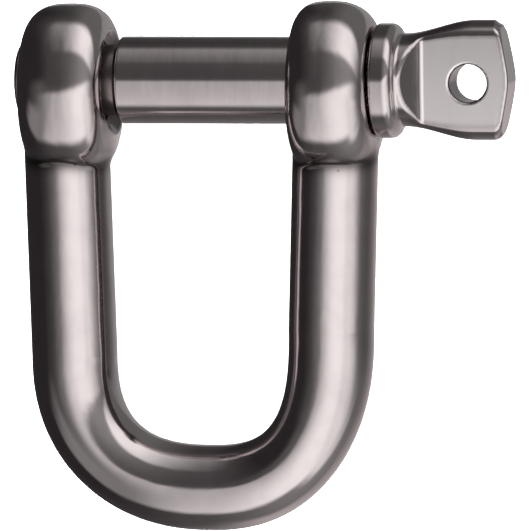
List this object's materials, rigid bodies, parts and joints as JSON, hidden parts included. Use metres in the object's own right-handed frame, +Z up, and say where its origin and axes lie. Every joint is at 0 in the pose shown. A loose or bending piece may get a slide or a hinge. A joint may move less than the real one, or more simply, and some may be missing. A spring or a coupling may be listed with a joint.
{
  "type": "chain joining shackle",
  "caption": "Forged D-shaped bow closed across its eared ends by a screw pin with a collar and a flat eyed tab, for joining chain.",
  "frame": {"origin": "centre of the bounding box, on the surface that the shackle lies on", "axes": "+X along the pin from its threaded tip to its tab, +Y from the bow's crown to the pin, +Z up from the surface through the thickness of the bow"},
  "size_m": [0.07, 0.074, 0.0222],
  "materials": {
    "bow_steel": "polished stainless steel with faint grain along the bar",
    "pin_steel": "polished stainless steel, turned pin and milled tab"
  },
  "bodies": {
    "bow": {"bow": "bow_steel"},
    "pin": {"screw_pin": "pin_steel"}
  },
  "joints": [
    {"name": "pin_withdraw", "type": "slide", "parent": "bow", "child": "pin", "axis": [1, 0, 0], "range_m": [0, 0.052]}
  ]
}
